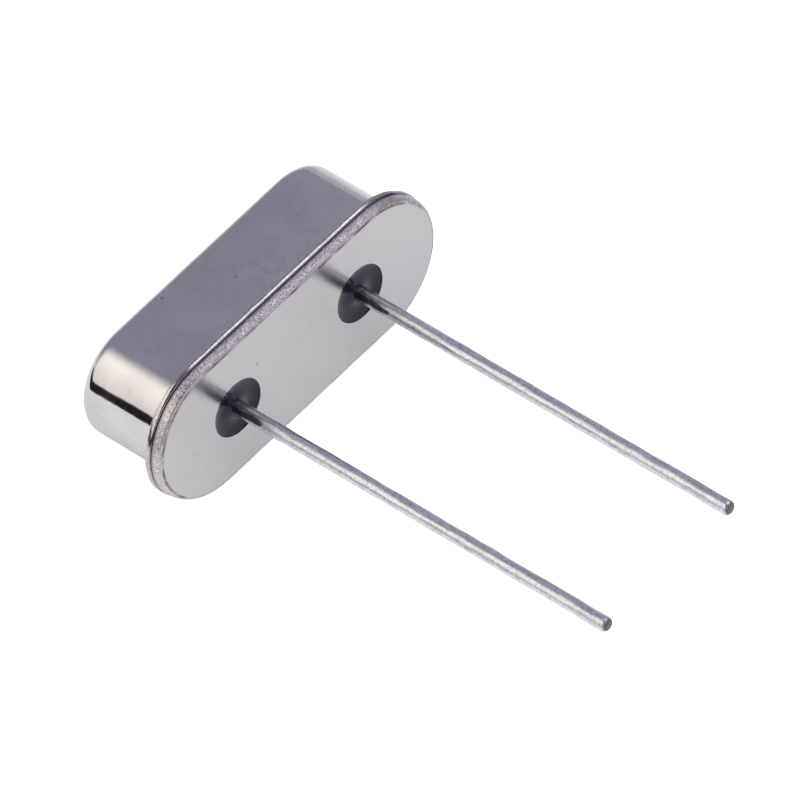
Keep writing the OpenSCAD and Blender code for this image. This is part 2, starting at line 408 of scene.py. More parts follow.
class CRYSTAL_OT_make_can(bpy.types.Operator):
    """Carries the can's section round its outline, with the slow waves that drawing leaves"""

    bl_idname = "crystal.make_can"
    bl_label = "Make the can"

    def execute(self, context):
        sizes = context.scene.crystal_can
        section = can_section(sizes)
        centres, outward = outline(sizes.body_half, CAN_STEPS)
        grid = carry(section, centres, outward)
        points = grid.reshape(-1, 3)
        body = sizes.body_half
        reach = np.tile(section[:, 0], len(centres))
        out = np.repeat(outward, len(section), axis=0)

        flange = grow(reach, body, FLANGE_HALF - body)
        slow = ripple(points, 2.6 * MM, 11) * sizes.wall_wave * grow(reach, 0.8 * body, 0.2 * body)
        rim = ripple(points, 0.7 * MM, 12) * sizes.rim_wave * flange**2
        seam_clear = grow(points[:, 2], SEAM, sizes.sheet)
        swell = corner_swell(points) * sizes.corner * flange
        points[:, :2] += out * (slow + rim * 0.5 + swell)[:, None]
        points[:, 2] += rim * seam_clear
        # seam: where the flange's weld seam groove gets painted shade
        seam = np.clip(1.3 - (points[:, 2] - SEAM) / (0.04 * MM), 0, 1) * flange
        piece = add_piece(
            "can_shell", [(points.reshape(grid.shape), True, False)], {"rim": flange, "seam": seam}
        )
        settle(piece, plated_can_finish(), "plated_can", "can")
        return {"FINISHED"}


# ---- the base


def side_arc(sizes):
    """Radius of the rim's slow arc and the height it starts at.

    The arc turns from its start to its end angle, over the height that the seam's radius and the
    tight one leave it: radius = height / (sin(end) - sin(start)).
    """
    start, end = math.sin(sizes.side_start), math.sin(sizes.side_end)
    high = SEAM - sizes.seam_radius
    return (high - sizes.edge_radius * (1 - end)) / (end - start), high


def edge_inner(sizes):
    """Half width of the base's flat face: what the rim's slow arc and its tight one leave."""
    start, end = math.cos(sizes.side_start), math.cos(sizes.side_end)
    return BASE_HALF - side_arc(sizes)[0] * (start - end) - sizes.edge_radius * end


def base_edge(sizes):
    """Half section of the base from its flat face, over its rounded rim, to the platform's top.

    The rim is a slow arc and a tight one with a shared tangent.
    """
    slow, high = side_arc(sizes)
    start, end, tight = sizes.side_start, sizes.side_end, sizes.edge_radius
    middle = (BASE_HALF - slow * math.cos(start), high + slow * math.sin(start))
    inner, seam_inner = edge_inner(sizes), BASE_HALF - sizes.seam_radius
    platform, corner = sizes.platform_half, sizes.platform_radius
    return join_runs(
        line((inner - 0.08 * MM, 0), (inner, 0), 8),
        arc((inner, tight), tight, -90, -math.degrees(end), 12),
        arc(middle, slow, -math.degrees(end), -math.degrees(start), 14),
        arc((seam_inner, high), sizes.seam_radius, 0, 90, 5),
        line((seam_inner, SEAM), (platform, SEAM), 5),
        line((platform, SEAM), (platform, PLATFORM_TOP - corner), 4),
        arc((platform - corner, PLATFORM_TOP - corner), corner, 0, 90, 4),
    )


def half_plate(side, reach, height, centres, outward, steps):
    """Grid from a seal's hole out to one half of a long outline.

    Each row runs from the hole's rim straight out to one place on the border, which is half of
    the outline and the line across the middle: hole + share * (border - hole).
    """
    half = len(centres) // 2
    turn = np.arange(half + 1) if side > 0 else np.arange(half, 2 * half + 1) % len(centres)
    border = centres[turn] + reach * outward[turn]
    across = line(border[-1], border[0], 40)[1:-1]
    border = np.concatenate([border, across])
    hole = np.array([side * LEAD_AXIS, 0.0])
    ray = border - hole
    rim = hole + SEAL_RADIUS * ray / np.linalg.norm(ray, axis=1)[:, None]
    done = np.linspace(0.0, 1.0, steps + 1)[None, :, None]
    flat = rim[:, None, :] + done * (border - rim)[:, None, :]
    heights = np.full(flat.shape[:2] + (1,), height)
    return np.concatenate([flat, heights], axis=2)


def wear_base(points, sizes, corner):
    """Moves the base's points by grain, sway, swell and slow waves, and returns its masks."""
    middle = np.clip(points[:, 0], -HALF_STRAIGHT, HALF_STRAIGHT)
    off = points[:, :2] - np.stack([middle, np.zeros(len(points))], axis=1)
    reach = np.linalg.norm(off, axis=1)
    out = off / np.maximum(reach, 1e-9)[:, None]
    below = np.clip(1 - points[:, 2] / SEAM, 0, 1)
    inner = edge_inner(sizes)
    rolled = grow(reach, inner, 0.09 * MM)
    face = grow(-reach, -inner, 0.1 * MM) * (points[:, 2] < SEAM / 2)
    grain = ripple(points, 0.16 * MM, 21, 60) * 0.6 + ripple(points, 0.09 * MM, 22, 60) * 0.5
    grain *= sizes.grain * rolled * (below > 0)
    sway = ripple(points, 1.6 * MM, 23) * 1.2 * sizes.grain * rolled
    rim = grow(reach, 0.8 * BASE_HALF, 0.2 * BASE_HALF)
    swell = corner_swell(points) * corner * rim
    points[:, :2] += out * ((grain + sway) * 0.7 * below**0.5 + swell)[:, None]
    points[:, 2] -= grain * 0.7 * (below > 0.2)
    points[:, 2] += ripple(points, 2.4 * MM, 24) * sizes.face_wave * face
    return {
        "rolled": rolled * (below > 0),
        # seam: where the rim's weld seam groove gets painted shade
        "seam": grow(points[:, 2], SEAM - 0.035 * MM, 0.035 * MM) * rim,
        "upper": grow(points[:, 2], 0.7 * SEAM, 0.04 * MM),
    }


class CRYSTAL_OT_make_base(bpy.types.Operator):
    """Rules the base from each seal's hole to its outline, and carries the rolled edge round it"""

    bl_idname = "crystal.make_base"
    bl_label = "Make the base"

    def execute(self, context):
        sizes = context.scene.crystal_base
        section = base_edge(sizes)
        centres, outward = outline(BASE_HALF, BASE_STEPS)
        strip = carry(section, centres, outward)
        grids = [(strip, True, False)]
        for side in (-1, 1):
            face = half_plate(side, section[0, 0], 0.0, centres, outward, 14)
            inside = half_plate(side, section[-1, 0], PLATFORM_TOP, centres, outward, 5)
            rims = np.stack([face[:, 0], inside[:, 0]], axis=1)
            grids += [(face, True, False), (inside, True, False), (rims, True, False)]

        points = np.concatenate([grid.reshape(-1, 3) for grid, _, _ in grids])
        masks = wear_base(points, sizes, context.scene.crystal_can.corner)
        ends = np.cumsum([grid.shape[0] * grid.shape[1] for grid, _, _ in grids])
        parts = np.split(points, ends[:-1])
        moved = [
            (part.reshape(grid.shape), rows, columns)
            for part, (grid, rows, columns) in zip(parts, grids)
        ]
        piece = add_piece("base_plate", moved, masks)
        settle(piece, plated_base_finish(), "plated_base", "base")
        return {"FINISHED"}


# ---- the glass seals


def seal_section(sizes, wire_radius):
    """Half section of a seal, dished at both faces by 4 * dip * f * (1 - f).

    The glass creeps along the lead by collar * exp(-8 * f), with f from 0 at the lead to 1.
    """
    steps = 26
    f = 0.5 - 0.5 * np.cos(np.linspace(0.0, np.pi, steps))
    reach = wire_radius + f * (SEAL_RADIUS - wire_radius)
    dish = 4 * sizes.dip * f * (1 - f) - sizes.collar * np.exp(-f * 8)
    low = np.stack([reach, SEAL_BOTTOM + dish], axis=1)
    high = np.stack([reach, SEAL_TOP - dish], axis=1)[::-1]
    return join_runs(low, line(low[-1], high[0], 3), high, line(high[-1], low[0], 3))[:-1]


class CRYSTAL_OT_make_seals(bpy.types.Operator):
    """Turns each seal's dished section round its lead"""

    bl_idname = "crystal.make_seals"
    bl_label = "Make the glass seals"

    def execute(self, context):
        sizes, leads = context.scene.crystal_seal, context.scene.crystal_lead
        section = seal_section(sizes, LEAD_RADIUS - leads.coat)
        finish = seal_glass_finish()
        for side, name in ((-1, "left"), (1, "right")):
            grid = turn_round(section, side * LEAD_AXIS, SEAL_SIDES)
            piece = add_piece(f"seal_{name}", [(grid, True, True)])
            settle(piece, finish, "seal_glass", f"glass_seal_{name}")
        return {"FINISHED"}


# ---- the leads


def lead_section(sizes):
    """Half section of a lead: cut tip, tinned wire, bare wire through the glass, nail head."""
    tip, bare = sizes.tip_radius, LEAD_RADIUS - sizes.coat
    head_round = (HEAD_TOP - NECK) / 3
    head_inner = HEAD_RADIUS - head_round
    return join_runs(
        line((0, LEAD_TIP), (LEAD_RADIUS - tip, LEAD_TIP), 5),
        arc((LEAD_RADIUS - tip, LEAD_TIP + tip), tip, -90, 0, 7),
        line((LEAD_RADIUS, LEAD_TIP + tip), (LEAD_RADIUS, SEAL_BOTTOM), 420),
        line((LEAD_RADIUS, SEAL_BOTTOM), (bare, SEAL_BOTTOM), 1),
        line((bare, SEAL_BOTTOM), (bare, NECK), 4),
        line((bare, NECK), (head_inner, NECK), 3),
        arc((head_inner, NECK + head_round), head_round, -90, 0, 4),
        arc((head_inner, HEAD_TOP - head_round), head_round, 0, 90, 4),
        line((head_inner, HEAD_TOP), (0, HEAD_TOP), 3),
    )


def nick_depths(off, heights, draw):
    """Sum of small pits on a lead: exp(-distance squared / size squared) each."""
    nicks = np.zeros(len(off))
    for _ in range(NICKS):
        turn, height = draw.uniform(0, 2 * np.pi), draw.uniform(LEAD_TIP, 0)
        spot = [math.cos(turn) * LEAD_RADIUS, math.sin(turn) * LEAD_RADIUS]
        size = draw.uniform(0.03, 0.07) * MM
        near = ((off - spot) ** 2).sum(axis=1) + ((heights - height) * 0.45) ** 2
        nicks += np.exp(-near / size**2)
    return nicks


def lead_masks(off, heights, tip):
    """Where the cut tip gets painted shade, and where oxide darkens it just below the glass."""
    facing = np.degrees(np.arctan2(-off[:, 0], -off[:, 1]))
    side = np.clip(1.3 - np.abs(facing - OXIDE_FACING) / OXIDE_SPREAD, 0, 1)
    below_glass = grow(heights, -1.5 * MM, 0.6 * MM) * (heights < SEAL_BOTTOM)
    cut = grow(-heights, -(LEAD_TIP + 0.5 * tip), 0.3 * tip)
    return {"cut": cut, "oxide": side * below_glass}


class CRYSTAL_OT_make_leads(bpy.types.Operator):
    """Turns each lead's section about its axis, with uneven tin, nicks and a rounded tip that gets
    painted shade
    """

    bl_idname = "crystal.make_leads"
    bl_label = "Make the leads"

    def execute(self, context):
        sizes = context.scene.crystal_lead
        section = lead_section(sizes)
        finish = tinned_lead_finish()
        for side, name, seed in ((-1, "left", 31), (1, "right", 41)):
            grid = turn_round(section, side * LEAD_AXIS, LEAD_SIDES)
            points = grid.reshape(-1, 3)
            off = points[:, :2] - [side * LEAD_AXIS, 0]
            reach = np.linalg.norm(off, axis=1)
            out = off / np.maximum(reach, 1e-9)[:, None]
            tinned = grow(-points[:, 2], -(SEAL_BOTTOM - 0.2 * MM), 0.5 * MM)
            tinned *= reach > LEAD_RADIUS * 0.5
            drawn = points * [1, 1, 0.12]
            uneven = ripple(drawn, 0.16 * MM, seed) * 0.7 + ripple(points, 0.9 * MM, seed + 1)
            nicks = nick_depths(off, points[:, 2], np.random.default_rng(seed + 2))
            depth = (uneven * sizes.wave - nicks * sizes.dent) * tinned
            points[:, :2] += out * depth[:, None]
            piece = add_piece(
                f"lead_wire_{name}",
                [(points.reshape(grid.shape), True, False)],
                lead_masks(off, points[:, 2], sizes.tip_radius),
            )
            settle(piece, finish, "tinned_lead", f"lead_{name}")
        return {"FINISHED"}


# ---- node helpers


def put(tree, kind, values=None, **settings):
    """Adds a node, sets it up, and links or sets its inputs."""
    made = tree.nodes.new("ShaderNode" + kind)
    for key, value in settings.items():
        setattr(made, key, value)
    for key, value in (values or {}).items():
        if isinstance(value, bpy.types.NodeSocket):
            tree.links.new(value, made.inputs[key])
        else:
            made.inputs[key].default_value = value
    return made


def maths(tree, operation, a, b=0.0):
    return put(tree, "Math", {0: a, 1: b}, operation=operation).outputs[0]


def times(tree, a, b):
    return maths(tree, "MULTIPLY", a, b)


def remap(tree, value, low, high, to_low=0.0, to_high=1.0, smooth=True):
    """Value carried from one range to another, held at the ends."""
    ends = {"From Min": low, "From Max": high, "To Min": to_low, "To Max": to_high}
    kind = "SMOOTHSTEP" if smooth else "LINEAR"
    made = put(tree, "MapRange", {"Value": value, **ends}, interpolation_type=kind)
    return made.outputs["Result"]


def tint(tree, amount, a, b, kind="MIX"):
    """Colour a turned towards b by an amount."""
    made = put(tree, "Mix", {0: amount, 6: a, 7: b}, data_type="RGBA", blend_type=kind)
    return made.outputs[2]


def cover(tree, under, mask, strength, over):
    """Colour under, turned towards the colour over by a mask times a strength."""
    return tint(tree, times(tree, mask, strength), under, over)


def rgba(values, factor=1.0):
    """A colour with full cover, darkened or lightened by a factor."""
    return (*(factor * value for value in values), 1.0)


def attribute(tree, name):
    return put(tree, "Attribute", attribute_name=name).outputs["Fac"]


FLOAT = "NodeSocketFloat"


def upright_place(tree, stretch=(1, 1, 1)):
    """Place on the upright part in millimetres, divided by a stretch along each axis."""
    turn = Matrix(AXES.tolist()).transposed().to_euler()
    scale = tuple(MM * s for s in stretch)
    place = put(tree, "TexCoord").outputs["Object"]
    values = {"Vector": place, "Location": tuple(SEAT), "Rotation": turn, "Scale": scale}
    return put(tree, "Mapping", values, vector_type="TEXTURE").outputs["Vector"]


def noise(tree, place, scale, detail=2.0, roughness=0.5, distortion=0.0):
    values = {"Vector": place, "Scale": scale, "Detail": detail}
    values |= {"Roughness": roughness, "Distortion": distortion}
    return put(tree, "TexNoise", values).outputs["Fac"]


def start_group(name, stretch=(1, 1, 1), **inputs):
    """A node group; returns its tree, its inputs, the upright place and a scale of 1 / size."""
    tree = bpy.data.node_groups.new(name, "ShaderNodeTree")
    for label, default in inputs.items():
        socket = tree.interface.new_socket(label, in_out="INPUT", socket_type=FLOAT)
        socket.default_value = default
    given = tree.nodes.new("NodeGroupInput").outputs
    return tree, given, upright_place(tree, stretch), maths(tree, "DIVIDE", 1.0, given["Size"])


def end_group(tree, label, value):
    tree.interface.new_socket(label, in_out="OUTPUT", socket_type=FLOAT)
    tree.links.new(value, tree.nodes.new("NodeGroupOutput").inputs[label])
    return tree


def build_smudges(name):
    """Two layers of cloudy noise, kept only where both are strong."""
    tree, given, place, scale = start_group(name, Size=1.0, Cover=0.5)
    broad = noise(tree, place, scale, 3.0, 0.6)
    fine = noise(tree, place, times(tree, scale, 4.3), 5.0, 0.7)
    edge = maths(tree, "SUBTRACT", 0.72, times(tree, given["Cover"], 0.3))
    patches = remap(tree, broad, edge, maths(tree, "ADD", edge, 0.14))
    return end_group(tree, "Mask", times(tree, patches, remap(tree, fine, 0.42, 0.62)))


def build_specks(name):
    """Small dots: the inside of a few cells of a cellular pattern."""
    tree, given, place, scale = start_group(name, Size=1.0, Spread=0.5)
    wobble = noise(tree, place, times(tree, scale, 5.0))
    cells = put(tree, "TexVoronoi", {"Vector": place, "Scale": scale})
    pick = put(tree, "SeparateColor", {"Color": cells.outputs["Color"]}).outputs
    size = remap(tree, pick["Green"], 0.0, 1.0, 0.03, 0.11, smooth=False)
    wobble = times(tree, maths(tree, "SUBTRACT", wobble, 0.5), 0.08)
    ragged = maths(tree, "ADD", cells.outputs["Distance"], wobble)
    dot = remap(tree, maths(tree, "DIVIDE", ragged, size), 0.7, 1.1, 1.0, 0.0)
    some = maths(tree, "GREATER_THAN", pick["Red"], given["Spread"])
    return end_group(tree, "Mask", times(tree, dot, some))


def build_grain(name):
    """Fine sparkling grain: noise plus 0.6 times the distances of a smooth cellular pattern."""
    tree, _, place, scale = start_group(name, Size=0.1)
    coarse = noise(tree, place, scale, 2.0, 0.65)
    values = {"Vector": place, "Scale": times(tree, scale, 1.3)}
    pits = put(tree, "TexVoronoi", values, feature="SMOOTH_F1").outputs["Distance"]
    return end_group(tree, "Height", maths(tree, "ADD", coarse, times(tree, pits, 0.6)))


def build_drawn(name):
    """Lines along the leads: noise stretched many times along the upright axis."""
    tree, _, place, scale = start_group(name, (1, 1, 30), Size=0.05)
    return end_group(tree, "Lines", noise(tree, place, scale, 4.0, 0.6))


def build_scratches(name):
    """Thin wandering lines: where a warped noise crosses its middle value, in a few patches."""
    tree, given, place, scale = start_group(name, Size=1.0, Width=0.01)
    bend = noise(tree, place, scale, 1.0, distortion=0.6)
    gap = maths(tree, "ABSOLUTE", maths(tree, "SUBTRACT", bend, 0.5))
    thin = remap(tree, gap, 0.0, given["Width"], 1.0, 0.0)
    some = remap(tree, noise(tree, place, times(tree, scale, 2.1)), 0.55, 0.7)
    return end_group(tree, "Mask", times(tree, thin, some))


BUILDERS = {
    "smudges": build_smudges,
    "specks": build_specks,
    "grain": build_grain,
    "drawn_lines": build_drawn,
    "scratches": build_scratches,
}


def use(tree, name, **values):
    """Places a shared group in a material with its own values, and builds the group once."""
    made = tree.nodes.new("ShaderNodeGroup")
    made.node_tree = bpy.data.node_groups.get(name) or BUILDERS[name](name)
    for key, value in values.items():
        made.inputs[key.capitalize()].default_value = value
    return made.outputs[0]


def start_finish(name, **values):
    """A material with a Principled shader; values are set on the shader's own sockets."""
    made = bpy.data.materials.new(name)
    made.use_nodes = True
    tree = made.node_tree
    shader = tree.nodes["Principled BSDF"]
    for key, value in values.items():
        shader.inputs[key.replace("_", " ")].default_value = value
    return made, tree, shader


def coat(tree, shader, shade, rough, height, strength, depth):
    """Links a colour, a roughness and a bump to the shader."""
    values = {"Height": height, "Strength": strength, "Distance": depth}
    tree.links.new(shade, shader.inputs["Base Color"])
    tree.links.new(rough, shader.inputs["Roughness"])
    tree.links.new(put(tree, "Bump", values).outputs["Normal"], shader.inputs["Normal"])


# ---- finishes

# Near-black painted shade in the weld seam's groove; near-black of oxide, of dirt on the can, and
# of an unlit part of the room
SEAM_SHADE, OXIDE = (0.03, 0.028, 0.035, 1.0), (0.03, 0.027, 0.035, 1.0)
DIRT, UNLIT = (0.12, 0.11, 0.13, 1.0), (0.02, 0.02, 0.025, 1.0)


def plated_can_finish():
    """Smooth nickel plate with faint smudges, a few specks and very slow waves."""
    plate = bpy.context.scene.crystal_colours.can_plate
    made, tree, shader = start_finish("plated_can", Metallic=1.0)
    cloud = use(tree, "smudges", size=1.5, cover=0.75)
    fine = use(tree, "smudges", size=0.45, cover=0.45)
    dots = use(tree, "specks", size=0.55, spread=0.8)
    haze = remap(tree, noise(tree, upright_place(tree), 0.45, 4.0, 0.6), 0.42, 0.62)
    shade = tint(tree, haze, rgba(plate), rgba(plate, 1.09))
    shade = cover(tree, shade, cloud, 0.6, rgba(plate, 0.86))
    shade = cover(tree, shade, fine, 0.5, rgba(plate, 0.86))
    shade = cover(tree, shade, dots, 0.5, DIRT)
    rim = attribute(tree, "rim")
    # Painted shade: the flange is darkened by a grainy factor from 0.6 to 1, for the dark crease by
    # the wall's fold
    flange_shade = remap(tree, use(tree, "grain", size=0.06), 0.45, 1.0, 0.6, 1.0)
    shade = tint(tree, rim, shade, tint(tree, 1.0, shade, flange_shade, "MULTIPLY"))
    # Painted shade: the weld seam's groove is painted near-black
    shade = tint(tree, attribute(tree, "seam"), shade, SEAM_SHADE)
    rough = remap(tree, cloud, 0.0, 1.0, 0.075, 0.15)
    rough = maths(tree, "ADD", rough, times(tree, rim, 0.08))
    coat(tree, shader, shade, rough, noise(tree, upright_place(tree), 1.4), 0.35, 0.02 * MM)
    return made


def plated_base_finish():
    """Satin plate on the face; bright grain, heat tint and a broken dark line round its rim."""
    colours = bpy.context.scene.crystal_colours
    made, tree, shader = start_finish("plated_base", Metallic=1.0)
    cloud = use(tree, "smudges", size=1.9, cover=0.8)
    dots = use(tree, "specks", size=0.7, spread=0.86)
    lines = use(tree, "scratches", size=1.7, width=0.004)
    grain = use(tree, "grain", size=0.055)
    heated = use(tree, "smudges", size=0.7, cover=0.35)
    plate, rim, heat = colours.base_plate, colours.edge_plate, rgba(colours.heat)
    face = cover(tree, rgba(plate), cloud, 0.5, rgba(plate, 0.94))
    face = cover(tree, face, dots, 0.6, (0.16, 0.15, 0.15, 1.0))
    face = cover(tree, face, lines, 0.25, (0.25, 0.25, 0.25, 1.0))
    edge = tint(tree, remap(tree, grain, 0.5, 1.0), rgba(rim, 0.62), rgba(rim, 1.2))
    edge = cover(tree, edge, heated, 0.5, heat)
    edge = cover(tree, edge, attribute(tree, "upper"), 0.6, heat)
    # Painted shade: the weld seam's groove is painted near-black
    edge = tint(tree, attribute(tree, "seam"), edge, SEAM_SHADE)
    rolled = attribute(tree, "rolled")
    fold = times(tree, rolled, maths(tree, "SUBTRACT", 1.0, rolled))
    broken = remap(tree, noise(tree, upright_place(tree), 0.9, 4.0, 0.7), 0.4, 0.62, 0.2, 0.85)
    both = tint(tree, rolled, face, edge)
    both = cover(tree, both, remap(tree, fold, 0.05, 0.2), broken, (0.09, 0.085, 0.09, 1.0))
    rough = remap(tree, cloud, 0.0, 1.0, 0.19, 0.24)
    rough = maths(tree, "ADD", rough, times(tree, rolled, 0.10))
    coat(tree, shader, both, rough, times(tree, grain, rolled), 0.8, 0.02 * MM)
    return made


def seal_glass_finish():
    """Dark, glossy, nearly opaque glass with faint cloudiness."""
    glass = bpy.context.scene.crystal_colours.glass
    made, tree, shader = start_finish("seal_glass", IOR=1.52, Specular_IOR_Level=0.3)
    shader.inputs["Specular Tint"].default_value = (0.9, 0.85, 1.0, 1.0)
    cloud = use(tree, "smudges", size=0.5, cover=0.8)
    pits = use(tree, "specks", size=0.3, spread=0.6)
    base = cover(tree, rgba(glass), cloud, 0.5, rgba(glass, 1.9))
    rough = remap(tree, cloud, 0.0, 1.0, 0.06, 0.12)
    rough = maths(tree, "ADD", rough, times(tree, pits, 0.2))
    coat(tree, shader, base, rough, noise(tree, upright_place(tree), 1.2, 0.0), 0.2, 0.02 * MM)
    return made


def tinned_lead_finish():
    """Bright tin with lines along the wire, dull patches, oxide by the glass and painted shade on
    the cut tip.
    """
    plate = bpy.context.scene.crystal_colours.tin
    made, tree, shader = start_finish("tinned_lead", Metallic=1.0)
    lines = use(tree, "drawn_lines", size=0.05)
    cloud = use(tree, "smudges", size=0.8, cover=0.7)
    dots = use(tree, "specks", size=0.3, spread=0.72)
    grain = use(tree, "grain", size=0.09)
    tin = tint(tree, remap(tree, lines, 0.35, 0.7), rgba(plate, 0.92), rgba(plate, 1.05))
    tin = cover(tree, tin, cloud, 0.4, rgba(plate, 0.7))
    tin = cover(tree, tin, dots, 0.6, (0.2, 0.19, 0.18, 1.0))
    tin = tint(tree, remap(tree, grain, 0.65, 1.1, 0.0, 0.6), tin, rgba(plate, 0.45))
    ragged = times(tree, noise(tree, upright_place(tree, (1, 1, 3)), 7.0, 4.0, 0.7), 1.7)
    oxide = maths(tree, "ADD", attribute(tree, "oxide"), ragged)
    tin = cover(tree, tin, remap(tree, oxide, 1.35, 1.55), 0.86, OXIDE)
    # Painted shade: the cut tip is painted near-black, for the dark look of the domed tip
    tin = cover(tree, tin, attribute(tree, "cut"), 0.9, (0.09, 0.09, 0.11, 1.0))
    rough = remap(tree, lines, 0.3, 0.7, 0.25, 0.36)
    rough = maths(tree, "ADD", rough, times(tree, cloud, 0.08))
    height = maths(tree, "ADD", lines, times(tree, grain, 0.5))
    coat(tree, shader, tin, rough, height, 0.7, 0.008 * MM)
    return made


def strip_finish():
    """Thin plated spring strip, a little dull."""
    spring = bpy.context.scene.crystal_colours.spring
    made, tree, shader = start_finish("spring_strip", Metallic=1.0)
    cloud = use(tree, "smudges", size=0.6, cover=0.7)
    grain = use(tree, "grain", size=0.04)
    shade = tint(tree, cloud, rgba(spring), rgba(spring, 0.85))
    coat(tree, shader, shade, remap(tree, cloud, 0.0, 1.0, 0.22, 0.34), grain, 0.3, 0.004 * MM)
    return made


def quartz_finish():
    """Clear quartz with finely lapped, slightly milky faces."""
    made, tree, shader = start_finish("quartz", IOR=1.54, Transmission_Weight=0.85)
    grain = use(tree, "grain", size=0.03)
    milk = tint(tree, grain, (0.93, 0.95, 0.96, 1.0), (0.80, 0.83, 0.85, 1.0))
    coat(tree, shader, milk, remap(tree, grain, 0.3, 1.1, 0.18, 0.3), grain, 0.2, 0.003 * MM)
    return made


def silver_finish():
    """Evaporated silver, a little uneven."""
    silver = bpy.context.scene.crystal_colours.silver
    made, tree, shader = start_finish("silver_film", Metallic=1.0)
    cloud = use(tree, "smudges", size=0.9, cover=0.8)
    shade = tint(tree, cloud, rgba(silver), rgba(silver, 0.88))
    rough = remap(tree, cloud, 0.0, 1.0, 0.16, 0.26)
    coat(tree, shader, shade, rough, use(tree, "grain", size=0.03), 0.15, 0.002 * MM)
    return made


def adhesive_finish():
    """Silver flakes in a dull binder."""
    colours = bpy.context.scene.crystal_colours
    made, tree, shader = start_finish("silver_adhesive", Metallic=0.0)
    grain = use(tree, "grain", size=0.05)
    flakes = use(tree, "specks", size=0.06, spread=0.4)
    shade = tint(tree, flakes, rgba(colours.adhesive), (0.75, 0.74, 0.72, 1.0))
    tree.links.new(times(tree, flakes, 0.8), shader.inputs["Metallic"])
    coat(tree, shader, shade, remap(tree, grain, 0.3, 1.1, 0.5, 0.75), grain, 0.8, 0.012 * MM)
    return made


class CRYSTAL_OT_finish_inside(bpy.types.Operator):
    """Gives the springs, quartz, films and adhesive inside the can their finishes"""

    bl_idname = "crystal.finish_inside"
    bl_label = "Finish the inside"

    def execute(self, context):
        finishes = {
            "spring_strip": strip_finish(),
            "quartz": quartz_finish(),
            "silver_film": silver_finish(),
            "silver_adhesive": adhesive_finish(),
        }
        for part in frame["record"]["subparts"]:
            finish = finishes.get(part["material_slot"])
            if finish is None:
                continue
            node = frame["nodes"][part["node"]]
            node.data.materials.clear()
            node.data.materials.append(finish)
        return {"FINISHED"}


# ---- the stage


# Directions in the room are in degrees: the turn from +Y towards +X, and the rise. Each pair is
# where a zone is nothing and where it is full.
WALL_TURN, WALL_RISE = ((-2.0, -30.0), (-125.0, -100.0)), (72.0, 56.0)
FRONT_RIGHT, FRONT_LEFT, FRONT_RISE = (122.0, 136.0), (-128.0, -142.0), (54.0, 46.0)
HIGH_TURN, HIGH_RISE = ((38.0, 50.0), (133.0, 124.0)), ((46.0, 52.0), (74.0, 68.0))
DIM_RISE, BEHIND_VIEW = (50.0, 60.0), (24.0, 16.0)
DARK_LEFT, DARK_RIGHT, DARK_RISE = (-20.0, -40.0), (85.0, 105.0), (7.5, 5.6)

# The dark strip round the part, and how a floor seen in a reflection fades along one direction
STRIP_REACH, STRIP_HEIGHT, STRIP_TURN, STRIP_STEPS = 28 * MM, 3 * MM, (-190, -20), 60
FADE_WAY, FADE_FROM, FADE_TO, FADE_MOST = (0.86, 0.51), 7.0 * MM, 26.0 * MM, 0.62
FLOOR_HALF, FLOOR_STEPS, FLOOR_LIFT = 0.6, 8, 0.6
KEY_WAY, KEY_DISTANCE, KEY_SIZE, KEY_POWER = (-0.2, -0.25, 1.0), 0.5, 0.45, 1.75
SENSOR, NEAREST, FARTHEST = 36.0, 0.05, 10.0


def view_way(stage):
    """Direction from the part to the camera."""
    a, e = stage.azimuth, stage.elevation
    return Vector((math.sin(a) * math.cos(e), -math.cos(a) * math.cos(e), math.sin(e)))


def light_room(stage):
    """World light by direction: a dim room with a wall light, a front light and a high light.

    The sky overhead, the horizon on both sides and a patch round the camera's direction are dark.
    """
    world = bpy.data.worlds.new("soft_room")
    bpy.context.scene.world = world
    world.use_nodes = True
    tree = world.node_tree
    way = put(tree, "TexCoord").outputs["Generated"]
    parts = put(tree, "SeparateXYZ", {"Vector": way})
    x, y, z = (parts.outputs[axis] for axis in "XYZ")
    turn = times(tree, maths(tree, "ARCTAN2", x, y), 180 / math.pi)
    rise = times(tree, maths(tree, "ARCSINE", z), 180 / math.pi)

    def step(value, ends):
        return remap(tree, value, *ends)

    def both(a, b):
        return times(tree, a, b)

    def either(a, b):
        return maths(tree, "MAXIMUM", a, b)

    overhead = either(step(rise, DIM_RISE), step(y, (0.0, -0.3)))
    wall = both(step(turn, WALL_TURN[0]), step(turn, WALL_TURN[1]))
    wall = both(wall, step(rise, WALL_RISE))
    front = either(step(turn, FRONT_RIGHT), step(turn, FRONT_LEFT))
    front = both(front, step(rise, FRONT_RISE))
    high = both(step(turn, HIGH_TURN[0]), step(turn, HIGH_TURN[1]))
    high = both(both(high, step(rise, HIGH_RISE[0])), step(rise, HIGH_RISE[1]))
    near = {0: way, 1: view_way(stage)}
    near = put(tree, "VectorMath", near, operation="DOT_PRODUCT").outputs["Value"]
    behind = step(near, [math.cos(math.radians(angle)) for angle in BEHIND_VIEW])
    dark = both(either(step(turn, DARK_LEFT), step(turn, DARK_RIGHT)), step(rise, DARK_RISE))

    glow = remap(tree, rise, 8.0, 38.0, 0.72, 1.0, smooth=False)
    glow = tint(tree, glow, (0.0, 0.0, 0.0, 1.0), rgba(stage.wall))
    sky = tint(tree, overhead, rgba(stage.slate), rgba(stage.dim))
    zones = ((wall, glow), (front, rgba(stage.front)), (high, rgba(stage.high)))
    for zone, shade in (*zones, (behind, UNLIT), (dark, UNLIT)):
        sky = tint(tree, zone, sky, shade)
    tree.links.new(sky, tree.nodes["Background"].inputs["Color"])


